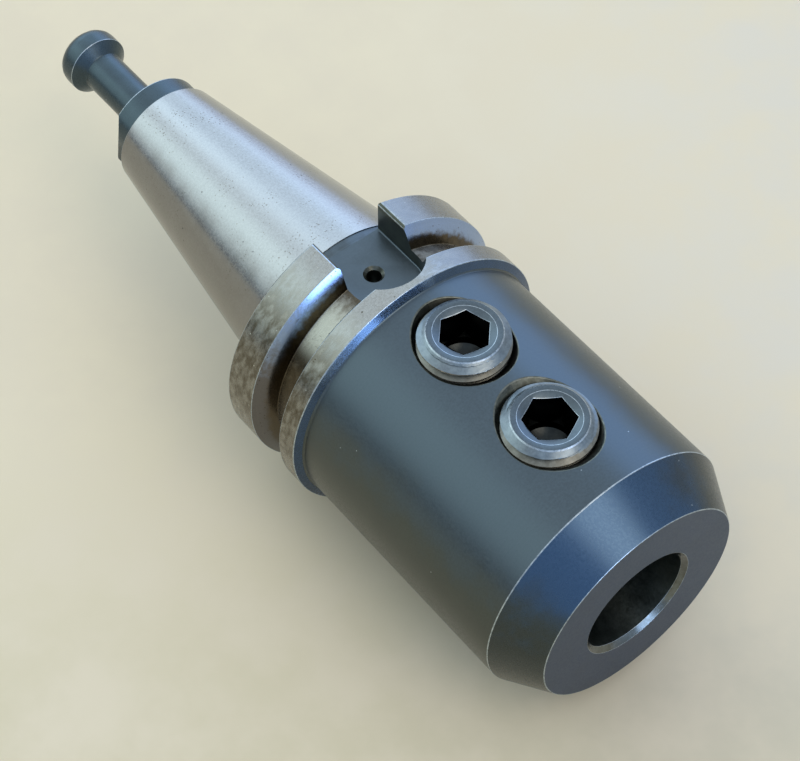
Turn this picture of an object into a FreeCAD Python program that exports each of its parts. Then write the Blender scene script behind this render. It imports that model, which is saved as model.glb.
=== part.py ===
import FreeCAD, Part
import math
import os

# Side lock end mill holder with a 7/24 taper of size 50, in millimetres.
# The spindle axis is X and the nose points along +X. The drive slot with the small hole and
# both lock screws face +Z. The origin is on the axis, in the gauge plane of the taper.

V = FreeCAD.Vector
AXIS = V(1, 0, 0)
UP = V(0, 0, 1)
OVERRUN = 5.0             # how far a cutting tool reaches past the metal
SAME = 1e-6               # two lengths that differ by less are equal

# Spindle taper
GAUGE_D = 69.85           # large diameter, at the gauge plane
TAPER_RATE = 7.0 / 24.0   # change of diameter over length
TAPER_L = 101.8           # gauge plane to small end
TAPER_END_BREAK = 0.8     # edge break at the small end
TAPER_TOP = -1.1          # where the ground cone ends, just behind the gauge plane
NECK_D = 68.8             # turned relief between the cone and the flange

# Flange with its gripper groove
FLANGE_D = 100.0
FLANGE_BACK = 3.0         # gauge plane to the back face of the flange
FLANGE_W = 35.0
BACK_BREAK = 0.6          # edge break of the rim at the back
FRONT_BREAK = 0.3         # edge break of the rim at the front
GROOVE_MID = 23.2         # gauge plane to the middle of the groove
GROOVE_W = 15.0           # width at the rim
GROOVE_DEPTH = 7.5
GROOVE_ANGLE = 60.0       # between the two flanks

# Drive slots, one on each side of the flange
SLOT_W = 25.7
SLOT_FLOOR = 35.4         # spindle axis to slot floor
SLOT_REACH = 35.7         # gauge plane to the far point of the round end
SLOT_LIP = 1.1            # edge break where the walls meet the rim
PIN_HOLE_X = 17.0         # small blind hole in the floor of the upper slot
PIN_HOLE_D = 5.0
PIN_HOLE_MOUTH_D = 7.0
PIN_HOLE_DEPTH = 12.0
MOUTH_SLOPE = 45.0        # slope of the countersinks of this hole and of the lock screws' holes

# Nose
BODY_D = 93.7
NOSE_REACH = 146.05       # gauge plane to nose face
NOSE_FACE_D = 76.0
NOSE_BEVEL_L = 16.0       # length of the bevel along the axis
BORE_D = 38.1             # takes a 1 1/2 inch shank
BORE_DEPTH = 104.0
BORE_MOUTH = 1.6          # 45 degree bevel at the mouth
PASSAGE_D = 16.0          # passage from the bore to the stud's thread
DRILL_POINT = 118.0       # included angle of the drilled hole bottoms

# Lock screws: two alike, seated in threaded holes in line with the drive slot
SCREW_D = 29.7            # over the thread crests
SCREW_L = 29.0
SCREW_TOP_D = 24.6        # edge of the top face
SCREW_TOP_BREAK = 0.5     # small edge break of the top face
SCREW_TOP_BEVEL = 1.9     # height of the bevel from that edge down to the crests
SCREW_TIP_D = 24.0
SCREW_TIP_BEVEL = 2.0
HEX_AF = 15.875           # 5/8 inch key
HEX_DEPTH = 13.0
HEX_MOUTH_D = 20.2        # shallow countersink around the socket
HEX_MOUTH_SLOPE = 30.0    # slope of that countersink
HOLE_MOUTH_D = 36.0       # 90 degree countersink of the threaded hole, at the crown of the body
FRONT_SCREW_SETBACK = 44.85   # nose face to the front lock screw
SCREW_SPACING = 39.6          # from one lock screw to the other
REAR_SCREW_TOP = 50.8     # spindle axis to the top of the screw, backed off as it lies
FRONT_SCREW_TOP = 49.0
REAR_HEX_TURN = 17.0      # how each socket happens to stand, about the screw's axis
FRONT_HEX_TURN = -5.5
RUNNING_FIT = 0.05        # radial clearance of a screw in its hole

# Pull stud
STUD_COLLAR_D = 36.8
STUD_COLLAR_L = 8.5
STUD_COLLAR_BREAK = 0.6
STUD_FLATS = 30.0         # across the two wrench flats
STUD_FLATS_TURN = 82.0    # how the flats happen to stand, about the spindle axis
STUD_NECK_D = 15.0
STUD_HEAD_D = 23.0
STUD_NECK_L = 31.4        # collar to the underside of the head
STUD_HEAD_SLOPE = 49.0    # underside of the head, to the axis
STUD_HEAD_BAND = 4.5
STUD_END_R = 5.3          # rounding of the rear end
STUD_END_BEVELS = 3       # number of bevels that the rounding is made of
STUD_PILOT_D = 25.0
STUD_PILOT_L = 7.0
STUD_THREAD_D = 24.0
STUD_THREAD_L = 28.0
STUD_TIP_BREAK = 1.5
STUD_BORE_SPARE = 4.0     # free depth past the end of the stud
PILOT_SPARE = 1.0         # free depth past the end of the pilot

# Worked out from the sizes above
DRILL_SLOPE = math.tan(math.radians(90 - DRILL_POINT / 2))
GAUGE_R = GAUGE_D / 2
NECK_R = NECK_D / 2
FLANGE_R = FLANGE_D / 2
FLANGE_FRONT = FLANGE_BACK + FLANGE_W
GROOVE_R = FLANGE_R - GROOVE_DEPTH
BODY_R = BODY_D / 2
FRONT_SCREW_X = NOSE_REACH - FRONT_SCREW_SETBACK
REAR_SCREW_X = FRONT_SCREW_X - SCREW_SPACING
BORE_R = BORE_D / 2
PASSAGE_R = PASSAGE_D / 2
SCREW_R = SCREW_D / 2
HOLE_R = SCREW_R + RUNNING_FIT
STUD_HEAD_R = STUD_HEAD_D / 2
STUD_NECK_R = STUD_NECK_D / 2
STUD_SEAT = -TAPER_L


def taper_radius(x):
    """Radius of the taper at a distance x from the gauge plane."""
    return GAUGE_R + x * TAPER_RATE / 2


def closed_wire(points):
    """A closed outline through the points; a triple (start, middle, end) is an arc."""
    edges = []
    last = points[0]
    for item in points[1:] + points[:1]:
        if isinstance(item, tuple):
            edges.append(Part.Arc(last, item[0], item[1]).toShape())
            last = item[1]
        else:
            edges.append(Part.LineSegment(last, item).toShape())
            last = item
    return Part.Wire(edges)


def turned(outline):
    """Solid of revolution about the spindle axis, from (x, radius) points."""
    points = [V(x, 0, r) for x, r in outline]
    return Part.Face(closed_wire(points)).revolve(V(0, 0, 0), AXIS, 360)


def drill(x, foot, top, radius):
    """A straight round cutting tool along +Z at the station x."""
    return Part.makeCylinder(radius, top - foot, V(x, 0, foot), UP)


def countersink(x, top, mouth_radius, slope):
    """A cutting cone, point down, whose given radius lies at the height top."""
    steepness = math.tan(math.radians(slope))
    grown = mouth_radius + OVERRUN / steepness
    depth = grown * steepness
    return Part.makeCone(0, grown, depth, V(x, 0, top + OVERRUN - depth), UP)


def blank():
    """Taper, flange with its groove, body and bevelled nose, as one turned piece."""
    half_angle = math.radians(GROOVE_ANGLE / 2)
    flank = GROOVE_DEPTH * math.tan(half_angle)
    small_end = STUD_SEAT
    outline = [
        (small_end, 0),
        (small_end, taper_radius(small_end) - TAPER_END_BREAK),
        (small_end + TAPER_END_BREAK, taper_radius(small_end + TAPER_END_BREAK)),
        (TAPER_TOP, taper_radius(TAPER_TOP)),
        (TAPER_TOP, NECK_R),
        (FLANGE_BACK, NECK_R),
        (FLANGE_BACK, FLANGE_R - BACK_BREAK),
        (FLANGE_BACK + BACK_BREAK, FLANGE_R),
        (GROOVE_MID - GROOVE_W / 2, FLANGE_R),
        (GROOVE_MID - GROOVE_W / 2 + flank, GROOVE_R),
        (GROOVE_MID + GROOVE_W / 2 - flank, GROOVE_R),
        (GROOVE_MID + GROOVE_W / 2, FLANGE_R),
        (FLANGE_FRONT - FRONT_BREAK, FLANGE_R),
        (FLANGE_FRONT, FLANGE_R - FRONT_BREAK),
        (FLANGE_FRONT, BODY_R),
        (NOSE_REACH - NOSE_BEVEL_L, BODY_R),
        (NOSE_REACH, NOSE_FACE_D / 2),
        (NOSE_REACH, 0),
    ]
    return turned(outline)


def through_bore():
    """The hollow along the axis: tool bore, passage, then the stud's thread and pilot."""
    bore_end = NOSE_REACH - BORE_DEPTH
    thread_r = STUD_THREAD_D / 2 + RUNNING_FIT
    pilot_r = STUD_PILOT_D / 2 + RUNNING_FIT
    pilot_end = STUD_SEAT + STUD_PILOT_L + PILOT_SPARE
    thread_end = STUD_SEAT + STUD_PILOT_L + STUD_THREAD_L + STUD_BORE_SPARE
    outline = [
        (STUD_SEAT - OVERRUN, 0),
        (STUD_SEAT - OVERRUN, pilot_r),
        (pilot_end, pilot_r),
        (pilot_end, thread_r),
        (thread_end, thread_r),
        (thread_end + (thread_r - PASSAGE_R) * DRILL_SLOPE, PASSAGE_R),
        (bore_end - (BORE_R - PASSAGE_R) * DRILL_SLOPE, PASSAGE_R),
        (bore_end, BORE_R),
        (NOSE_REACH - BORE_MOUTH, BORE_R),
        (NOSE_REACH, BORE_R + BORE_MOUTH),
        (NOSE_REACH + OVERRUN, BORE_R + BORE_MOUTH),
        (NOSE_REACH + OVERRUN, 0),
    ]
    return turned(outline)


def drive_slot():
    """Cutting tool of the upper drive slot: open at the back, round at the nose end."""
    half = SLOT_W / 2
    centre = SLOT_REACH - half
    back = -OVERRUN
    floor = closed_wire([
        V(back, -half, SLOT_FLOOR),
        V(centre, -half, SLOT_FLOOR),
        (V(SLOT_REACH, 0, SLOT_FLOOR), V(centre, half, SLOT_FLOOR)),
        V(back, half, SLOT_FLOOR),
    ])
    return Part.Face(floor).extrude(UP * (FLANGE_R - SLOT_FLOOR + OVERRUN))


def slot_lips(shape):
    """The straight edges where the slot walls come out through the rim of the flange."""
    lips = []
    for edge in shape.Edges:
        ends = [vertex.Point for vertex in edge.Vertexes]
        if len(ends) != 2 or not isinstance(edge.Curve, Part.Line):
            continue
        on_wall = all(abs(abs(p.y) - SLOT_W / 2) < SAME for p in ends)
        on_rim = all(abs(math.hypot(p.y, p.z) - FLANGE_R) < SAME for p in ends)
        if on_wall and on_rim:
            lips.append(edge)
    return lips


def lock_hole(x):
    """Threaded hole of a lock screw, from the bore out through the countersunk mouth."""
    straight = drill(x, 0, BODY_R + OVERRUN, HOLE_R)
    return straight.fuse(countersink(x, BODY_R, HOLE_MOUTH_D / 2, MOUTH_SLOPE))


def pin_hole():
    """Small countersunk blind hole in the floor of the upper drive slot."""
    foot = SLOT_FLOOR - PIN_HOLE_DEPTH
    straight = drill(PIN_HOLE_X, foot, SLOT_FLOOR + OVERRUN, PIN_HOLE_D / 2)
    mouth = countersink(PIN_HOLE_X, SLOT_FLOOR, PIN_HOLE_MOUTH_D / 2, MOUTH_SLOPE)
    return straight.fuse(mouth)


def holder_body():
    """The holder itself, turned from one piece of steel and then milled and drilled."""
    body = blank()
    upper = drive_slot()
    lower = upper.copy()
    lower.rotate(V(0, 0, 0), AXIS, 180)
    body = body.cut([upper, lower])
    body = body.makeChamfer(SLOT_LIP, slot_lips(body))
    cuts = [through_bore(), pin_hole(), lock_hole(REAR_SCREW_X), lock_hole(FRONT_SCREW_X)]
    return body.cut(cuts)


def hex_socket(top):
    """Cutting tool of the key socket: a hexagon with a shallow countersink."""
    corner = HEX_AF / 2 / math.cos(math.radians(30))
    foot = top - HEX_DEPTH
    turns = [math.radians(60 * i) for i in range(6)]
    corners = [V(corner * math.cos(a), corner * math.sin(a), foot) for a in turns]
    prism = Part.Face(closed_wire(corners)).extrude(UP * (HEX_DEPTH + OVERRUN))
    mouth = countersink(0, top, HEX_MOUTH_D / 2, HEX_MOUTH_SLOPE)
    return prism.fuse(mouth)


def lock_screw(x, top, turn):
    """Socket set screw with a flat tip, standing at the station x with its top at that height."""
    foot = top - SCREW_L
    outline = [
        V(0, 0, foot),
        V(SCREW_TIP_D / 2, 0, foot),
        V(SCREW_R, 0, foot + SCREW_TIP_BEVEL),
        V(SCREW_R, 0, top - SCREW_TOP_BREAK - SCREW_TOP_BEVEL),
        V(SCREW_TOP_D / 2, 0, top - SCREW_TOP_BREAK),
        V(SCREW_TOP_D / 2 - SCREW_TOP_BREAK, 0, top),
        V(0, 0, top),
    ]
    screw = Part.Face(closed_wire(outline)).revolve(V(0, 0, 0), UP, 360)
    screw = screw.cut(hex_socket(top))
    screw.rotate(V(0, 0, 0), UP, turn)
    screw.translate(V(x, 0, 0))
    return screw


def stud_blank():
    """The pull stud as turned: rounded head, neck, collar, pilot and threaded shank."""
    collar_r = STUD_COLLAR_D / 2
    collar_back = STUD_SEAT - STUD_COLLAR_L
    under_head = collar_back - STUD_NECK_L
    head_cone = (STUD_HEAD_R - STUD_NECK_R) / math.tan(math.radians(STUD_HEAD_SLOPE))
    band_front = under_head - head_cone
    band_back = band_front - STUD_HEAD_BAND
    end = band_back - STUD_END_R
    rounding = []
    for step in range(STUD_END_BEVELS + 1):
        angle = math.radians(90 * step / STUD_END_BEVELS)
        radius = STUD_HEAD_R - STUD_END_R * (1 - math.cos(angle))
        rounding.append(V(band_back - STUD_END_R * math.sin(angle), 0, radius))
    pilot_end = STUD_SEAT + STUD_PILOT_L
    shank_end = pilot_end + STUD_THREAD_L
    thread_r = STUD_THREAD_D / 2
    outline = [
        V(end, 0, 0),
        V(shank_end, 0, 0),
        V(shank_end, 0, thread_r - STUD_TIP_BREAK),
        V(shank_end - STUD_TIP_BREAK, 0, thread_r),
        V(pilot_end, 0, thread_r),
        V(pilot_end, 0, STUD_PILOT_D / 2),
        V(STUD_SEAT, 0, STUD_PILOT_D / 2),
        V(STUD_SEAT, 0, collar_r),
        V(collar_back + STUD_COLLAR_BREAK, 0, collar_r),
        V(collar_back, 0, collar_r - STUD_COLLAR_BREAK),
        V(collar_back, 0, STUD_NECK_R),
        V(under_head, 0, STUD_NECK_R),
        V(band_front, 0, STUD_HEAD_R),
    ] + rounding
    return Part.Face(closed_wire(outline)).revolve(V(0, 0, 0), AXIS, 360)


def pull_stud():
    """Pull stud with two wrench flats milled on its collar."""
    span = STUD_COLLAR_D + 2 * OVERRUN
    start = STUD_SEAT - STUD_COLLAR_L - OVERRUN
    flats = []
    for side in (0, 180):
        tool = Part.makeBox(
            STUD_COLLAR_L + OVERRUN, span, span, V(start, -span / 2, STUD_FLATS / 2)
        )
        tool.rotate(V(0, 0, 0), AXIS, side + STUD_FLATS_TURN)
        flats.append(tool)
    return stud_blank().cut(flats)


def build():
    return {
        "holder_body": holder_body(),
        "pull_stud": pull_stud(),
        "rear_lock_screw": lock_screw(REAR_SCREW_X, REAR_SCREW_TOP, REAR_HEX_TURN),
        "front_lock_screw": lock_screw(FRONT_SCREW_X, FRONT_SCREW_TOP, FRONT_HEX_TURN),
    }


os.makedirs("parts", exist_ok=True)
for name, shape in build().items():
    print(name, shape.ShapeType, "valid", shape.isValid(), "solids", len(shape.Solids),
          "volume cm3", round(shape.Volume / 1000, 2))
    shape.exportStep("parts/" + name + ".step")
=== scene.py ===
import math
import bmesh
import bpy
from mathutils import Matrix, Vector


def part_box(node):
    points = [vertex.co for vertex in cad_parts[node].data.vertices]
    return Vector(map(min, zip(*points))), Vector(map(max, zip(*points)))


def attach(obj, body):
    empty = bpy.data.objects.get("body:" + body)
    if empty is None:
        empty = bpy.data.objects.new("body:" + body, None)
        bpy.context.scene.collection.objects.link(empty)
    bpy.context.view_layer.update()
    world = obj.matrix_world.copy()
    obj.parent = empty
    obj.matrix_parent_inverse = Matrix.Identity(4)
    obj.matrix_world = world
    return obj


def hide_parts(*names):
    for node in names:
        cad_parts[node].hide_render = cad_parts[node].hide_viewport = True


# Side lock end mill holder with a 7/24 taper of size 50. The spindle axis is X, the nose points
# along +X and the lock screws face +Z. Pieces are modelled in millimetres and handed over in metres.

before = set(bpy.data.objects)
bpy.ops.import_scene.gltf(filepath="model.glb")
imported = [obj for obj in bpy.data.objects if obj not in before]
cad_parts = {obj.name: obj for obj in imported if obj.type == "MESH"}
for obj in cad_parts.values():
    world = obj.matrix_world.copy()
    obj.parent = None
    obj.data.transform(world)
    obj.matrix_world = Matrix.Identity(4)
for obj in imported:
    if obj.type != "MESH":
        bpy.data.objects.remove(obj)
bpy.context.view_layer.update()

MM = 0.001
EDGE = "worn_edge"          # finish that the outer corners of a turned outline take
RUBBED_BELOW = 1.0          # a larger rounding isn't a rubbed corner and keeps its finish
AROUND = 288                # columns of a turned surface of the holder
AROUND_SMALL = 144          # columns of the stud and the screws
ARC_STEP = 18.0             # degrees of turn for each face of a rounded corner
SMOOTH_BELOW = 30.0         # edges that turn by more degrees stay sharp
OVERRUN = 4.0               # how far a cutting tool reaches past the metal
WELD = 1e-5                 # points nearer than this become one
JOIN_WELD = 1e-3            # the same where a shank meets its ends
ROUGH_SPREAD = 0.04         # how far a finish's roughness wanders up and down


def corner_of(name, side, axis):
    """One coordinate of a CAD node's box, in millimetres: side 0 is its lowest corner, 1 its highest."""
    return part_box(name)[side][axis] / MM


# Sizes that the frame gives
SMALL_END = corner_of("holder_body", 0, 0)
NOSE = corner_of("holder_body", 1, 0)
FLANGE_R = corner_of("holder_body", 1, 1)
SCREWS = {}
for screw_name in ("rear_lock_screw", "front_lock_screw"):
    middle = (corner_of(screw_name, 0, 0) + corner_of(screw_name, 1, 0)) / 2
    SCREWS[screw_name] = (middle, corner_of(screw_name, 0, 2), corner_of(screw_name, 1, 2))
SCREW_R = (corner_of("rear_lock_screw", 1, 1) - corner_of("rear_lock_screw", 0, 1)) / 2
REAR_X = SCREWS["rear_lock_screw"][0]
FRONT_X = SCREWS["front_lock_screw"][0]
STUD_END = corner_of("pull_stud", 0, 0)

# Taper and neck
GAUGE_R = 69.85 / 2         # of the taper where x is 0
TAPER_SLOPE = 7.0 / 48.0    # change of radius over length
TAPER_TOP = -1.1
END_BREAK = 0.8             # bevel of the small end
NECK_R = 34.4

# Flange and gripper groove
FLANGE_BACK = 3.0
FLANGE_FRONT = 38.0
BACK_BREAK = 0.6
GROOVE_MID = 23.2
GROOVE_HALF = 7.5
GROOVE_R = FLANGE_R - 7.5
GROOVE_FLANK = 7.5 * math.tan(math.radians(30))
FLANK_CROWN = 0.25          # how far the back flank of the groove swells where grippers rub it
FLANK_CROWN_DROP = 3.6      # the top of that swelling, below the rim
FLANK_CROWN_ROUND = 15.0
FRONT_LEAN = 1.5            # the front face of the flange runs out on to the body

# Drive slots
SLOT_HALF = 12.85
SLOT_FLOOR = 35.4
SLOT_REACH = 35.7
SLOT_CENTRE = SLOT_REACH - SLOT_HALF
SLOT_FILLET = 0.5
SLOT_LIP = 1.1              # bevel where the slot's wall meets the rim
LIP_RUB = 0.25              # width of the rubbed edge on both sides of that bevel
SLOT_END_STEPS = 40         # faces of the slot's round end
SLOT_FILLET_STEPS = 4
PIN_X = 17.0
PIN_R = 2.5
PIN_MOUTH_R = 3.5
PIN_DEPTH = 12.0

# Body, nose and bore
BODY_R = 93.7 / 2
BEVEL_START = NOSE - 16.0
FACE_R = 38.0
BORE_R = 38.1 / 2
BORE_END = NOSE - 104.0
BORE_MOUTH = 1.6
PASSAGE_R = 8.0
POINT_SLOPE = math.tan(math.radians(31))   # length over radius of a 118 degree drill point
PILOT_R = 12.55
PILOT_END = SMALL_END + 8.0
STUD_HOLE_R = 12.05
STUD_HOLE_END = SMALL_END + 39.0

# Lock screws and their holes
HOLE_R = SCREW_R + 0.05     # the screws' clearance
HOLE_MOUTH_R = 18.0
HOLE_RIM = 0.3              # width of the rubbed rim of a countersink
PITCH = 25.4 / 7            # the seven threads to the inch that the photograph shows
THREAD_DEPTH = 0.6134 * PITCH
CREST_SHARE = 1 / 8         # of half a pitch, where the flank starts
ROOT_SHARE = 3 / 4          # of half a pitch, where it ends
ROWS_PER_TURN = 32          # rows of a thread, so that its corners fall on rows
TOP_R = 12.3
TOP_BREAK = 0.4             # bright rubbed edge of the top
MOUTH_LINE = 0.05           # depth of the rubbed rim of the socket's countersink
SKIN = 0.05                 # a face this near to a surface belongs to it
TOP_BEVEL = 1.9             # height of the bevel from that edge down to the crests
RUN_OUT = 0.6               # the groove of the thread fades over the last of it
RUBBED_TOP = 3.0            # so far down the screws are rubbed grey, below that they are brown
TIP_R = 12.0                # of the flat tip, inside its bevel
TIP_BEVEL = 2.0
SOCKET_HALF = 15.0 / 2
SOCKET_DEPTH = 13.0
SOCKET_MOUTH_R = 10.1
SOCKET_DRILL_R = 7.7
SOCKET_DRILL_DEPTH = 16.0   # the hole drilled before the hexagon was broached goes deeper
SOCKET_OVERLAP = 1.0        # how far the drill's tool reaches up into the hexagon
SOCKET_RIM = 0.18           # width of the rubbed edge between hexagon and countersink
MOUTH_ANGLE = 18.0          # of the socket's shallow countersink, from the face
REAR_TURN = 17.0            # by which the key socket is turned, in degrees
REAR_CREST = (320.0, 2.6)   # where a crest shows: angle about the screw, distance below its top
FRONT_TURN = -5.5
FRONT_CREST = (318.0, 1.15)

# Pull stud
COLLAR_R = 18.4
COLLAR_BACK = SMALL_END - 8.5
FLAT_HALF = 15.0            # from the axis to a wrench flat of the collar
FLATS_TURN = 82.0           # by which the flats are turned about the spindle, in degrees
STUD_NECK_R = 7.5
UNDER_HEAD = COLLAR_BACK - 31.4
HEAD_R = 11.5
HEAD_FRONT = UNDER_HEAD - (HEAD_R - STUD_NECK_R) / math.tan(math.radians(49))
HEAD_ROUND = 5.3
STUD_PILOT_R = 12.5
STUD_PILOT_END = PILOT_END - 1.0   # the pilot stops short of the bottom of its seat
STUD_THREAD_R = 12.0
STUD_TIP = SMALL_END + 35.0


# Turned outlines and what is done to their meshes

def rounded(corners):
    """The outline with its corners turned into arcs.

    A corner is (along the axis, radius, rounding, finish of the surface that follows). The metal
    lies to the right of the path, so an outer corner turns to the right; a small one is rubbed bright.
    """
    outline = []
    for i, (along, radius, rounding, finish) in enumerate(corners):
        if rounding == 0:
            outline.append((along, radius, finish))
            continue
        here = Vector((along, radius))
        back = (Vector(corners[i - 1][:2]) - here).normalized()
        ahead = (Vector(corners[(i + 1) % len(corners)][:2]) - here).normalized()
        turn = math.pi - back.angle(ahead)
        outer = back.x * ahead.y - back.y * ahead.x > 0
        centre = here + (back + ahead).normalized() * rounding / math.cos(turn / 2)
        arm = here + back * rounding * math.tan(turn / 2) - centre
        steps = max(2, round(math.degrees(turn) / ARC_STEP))
        for step in range(steps + 1):
            swing = turn * step / steps * (-1 if outer else 1)
            point = centre + Matrix.Rotation(swing, 2) @ arm
            rubbed = outer and rounding < RUBBED_BELOW and step < steps
            outline.append((point.x, point.y, EDGE if rubbed else finish))
    return outline


def about_spindle(along, radius, angle):
    """A point given about the X axis, its angle counted from +Y towards +Z."""
    return (along, radius * math.cos(angle), radius * math.sin(angle))


def about_screw(along, radius, angle):
    """A point given about the Z axis, its angle counted from +X towards +Y."""
    return (radius * math.cos(angle), radius * math.sin(angle), along)


def turned(outline, finishes, columns, place=about_spindle, closed=False):
    """A bmesh of the outline turned about its axis. Radius 0 is a pole; a closed outline is a ring."""
    form = bmesh.new()
    rings = []
    for along, radius, _ in outline:
        count = 1 if radius == 0 else columns
        ring = [form.verts.new(place(along, radius, math.tau * i / columns)) for i in range(count)]
        rings.append(ring)
    links = list(zip(outline, rings, rings[1:]))
    if closed:
        links.append((outline[-1], rings[-1], rings[0]))
    for (_, _, finish), first, second in links:
        for i in range(columns):
            j = (i + 1) % columns
            loop = [ring[k % len(ring)] for ring, k in ((first, i), (first, j), (second, j), (second, i))]
            face = form.faces.new(list(dict.fromkeys(loop)))
            face.material_index = finishes.index(finish)
    return form


def linked(name, data):
    """A new object in the scene."""
    made = bpy.data.objects.new(name, data)
    bpy.context.scene.collection.objects.link(made)
    return made


def join(form, other):
    """Adds the other bmesh to the form and frees it."""
    carrier = bpy.data.meshes.new("carrier")
    other.to_mesh(carrier)
    other.free()
    form.from_mesh(carrier)
    bpy.data.meshes.remove(carrier)


def solid(form, name, finishes):
    """An object from a bmesh, its faces turned outwards and its finishes in their slots."""
    bmesh.ops.remove_doubles(form, verts=form.verts, dist=WELD)
    bmesh.ops.recalc_face_normals(form, faces=form.faces)
    mesh = bpy.data.meshes.new(name)
    form.to_mesh(mesh)
    form.free()
    for finish in finishes:
        mesh.materials.append(STEEL[finish])
    return linked(name, mesh)


def settle(piece):
    """Makes the modifiers' result the piece's own mesh."""
    shown = piece.evaluated_get(bpy.context.evaluated_depsgraph_get())
    mesh = bpy.data.meshes.new_from_object(shown)
    piece.modifiers.clear()
    piece.data = mesh


def cut(piece, tool):
    """Takes the tool's volume out of the piece; the new faces keep the tool's finishes."""
    step = piece.modifiers.new("cut", "BOOLEAN")
    step.operation = "DIFFERENCE"
    step.solver = "EXACT"
    step.material_mode = "INDEX"
    step.object = tool
    settle(piece)
    bpy.data.objects.remove(tool)


def rub_edges(piece, finishes, first, others, width, rubbed=EDGE):
    """Bevels the edges where one finish meets any of the others, in a finish of their own."""
    mesh = piece.data
    pairs = [{finishes.index(first), finishes.index(other)} for other in others]
    met = {}
    for face in mesh.polygons:
        for key in face.edge_keys:
            met.setdefault(key, set()).add(face.material_index)
    weights = mesh.attributes.new("bevel_weight_edge", "FLOAT", "EDGE")
    for edge in mesh.edges:
        weights.data[edge.index].value = 1.0 if met.get(edge.key) in pairs else 0.0
    step = piece.modifiers.new("rubbed edge", "BEVEL")
    step.limit_method = "WEIGHT"
    step.width = width
    step.segments = 2
    step.use_clamp_overlap = False
    step.material = finishes.index(rubbed)
    settle(piece)


def smooth(piece, turned_finishes=()):
    """Smooth shading with sharp edges. Where a finish is turned about the spindle, the normals come
    from the turning itself, so that the holes cut into it leave no facets beside them."""
    mesh = piece.data
    mesh.polygons.foreach_set("use_smooth", [True] * len(mesh.polygons))
    mesh.set_sharp_from_angle(angle=math.radians(SMOOTH_BELOW))
    normals = [corner.vector.copy() for corner in mesh.corner_normals]
    wanted = {i for i, m in enumerate(mesh.materials) if m and m.name in turned_finishes}
    slopes = {}
    around = {}
    for face in mesh.polygons:
        if face.material_index not in wanted:
            continue
        out = Vector((0, face.center.y, face.center.z)).normalized()
        slopes[face.index] = Vector((face.normal.x, face.normal.dot(out))).normalized()
        for v in face.vertices:
            around.setdefault(v, []).append(face.index)
    limit = math.cos(math.radians(SMOOTH_BELOW))
    for index, slope in slopes.items():
        face = mesh.polygons[index]
        for corner, v in zip(face.loop_indices, face.vertices):
            mean = Vector((0, 0))
            for other in around[v]:
                if slopes[other].dot(slope) > limit:
                    mean += slopes[other] * mesh.polygons[other].area
            mean.normalize()
            at = mesh.vertices[v].co
            out = Vector((0, at.y, at.z)).normalized()
            normals[corner] = Vector((mean.x, 0, 0)) + out * mean.y
    mesh.normals_split_custom_set(normals)


def hand_over(piece, body, node_name):
    """Turns the finished piece to metres and ties it to the frame."""
    piece.data.transform(Matrix.Scale(MM, 4))
    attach(piece, body)
    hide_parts(node_name)


# Finishes

def linear(code):
    """An sRGB hex colour as the linear values that Blender works in."""
    values = [int(code[i:i + 2], 16) / 255 for i in (1, 3, 5)]
    return tuple(v / 12.92 if v <= 0.04045 else ((v + 0.055) / 1.055) ** 2.4 for v in values) + (1.0,)


def add(tree, kind, links=None, **settings):
    """Adds a node. Each entry of links sets an input: from a socket by a link, or else as a value."""
    made = tree.nodes.new(kind)
    for key, value in settings.items():
        setattr(made, key, value)
    for key, value in (links or {}).items():
        if isinstance(value, bpy.types.NodeSocket):
            tree.links.new(value, made.inputs[key])
        else:
            made.inputs[key].default_value = value
    return made


def new_finish(name):
    """An empty material and its place in millimetres, as (material, tree, place socket)."""
    material = bpy.data.materials.new(name)
    material.use_nodes = True
    tree = material.node_tree
    tree.nodes.clear()
    place = add(tree, "ShaderNodeTexCoord").outputs["Object"]
    scaled = add(tree, "ShaderNodeVectorMath", {0: place, "Scale": 1 / MM}, operation="SCALE")
    return material, tree, scaled.outputs[0]


def blotches(tree, place, size, low, high, detail=4.0):
    """Soft patches of about the given size, 0 to 1 as the noise goes from low to high."""
    noise = add(tree, "ShaderNodeTexNoise", {"Vector": place, "Scale": 1 / size, "Detail": detail,
                                            "Roughness": 0.6, "Distortion": 0.0})
    ranged = add(tree, "ShaderNodeMapRange", {"Value": noise.outputs["Fac"], "From Min": low,
                                              "From Max": high}, interpolation_type="SMOOTHSTEP")
    return ranged.outputs[0]


def dots(tree, place, cell, radius, share):
    """Small round marks, one at most in each cell, in that share of the cells."""
    cells = add(tree, "ShaderNodeTexVoronoi", {"Vector": place, "Scale": 1 / cell})
    near = add(tree, "ShaderNodeMapRange", {"Value": cells.outputs["Distance"], "From Min": radius / cell,
                                            "From Max": 0.6 * radius / cell},
               interpolation_type="SMOOTHSTEP")
    chance = add(tree, "ShaderNodeSeparateColor", {"Color": cells.outputs["Color"]})
    there = add(tree, "ShaderNodeMath", {0: chance.outputs["Red"], 1: share}, operation="LESS_THAN")
    both = add(tree, "ShaderNodeMath", {0: near.outputs[0], 1: there.outputs[0]}, operation="MULTIPLY")
    return both.outputs[0]


def lay(tree, place, pitch):
    """Ring-shaped tool marks about the spindle axis: noise along the axis and the radius together."""
    across = add(tree, "ShaderNodeVectorMath", {0: place, 1: (0, 1, 1)}, operation="MULTIPLY")
    radius = add(tree, "ShaderNodeVectorMath", {0: across.outputs[0]}, operation="LENGTH")
    along = add(tree, "ShaderNodeSeparateXYZ", {0: place})
    both = add(tree, "ShaderNodeMath", {0: along.outputs[0], 1: radius.outputs["Value"]}, operation="ADD")
    marks = add(tree, "ShaderNodeTexNoise", {"W": both.outputs[0], "Scale": 1 / pitch, "Detail": 3.0,
                                            "Roughness": 0.7}, noise_dimensions="1D")
    return marks.outputs["Fac"]


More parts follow.
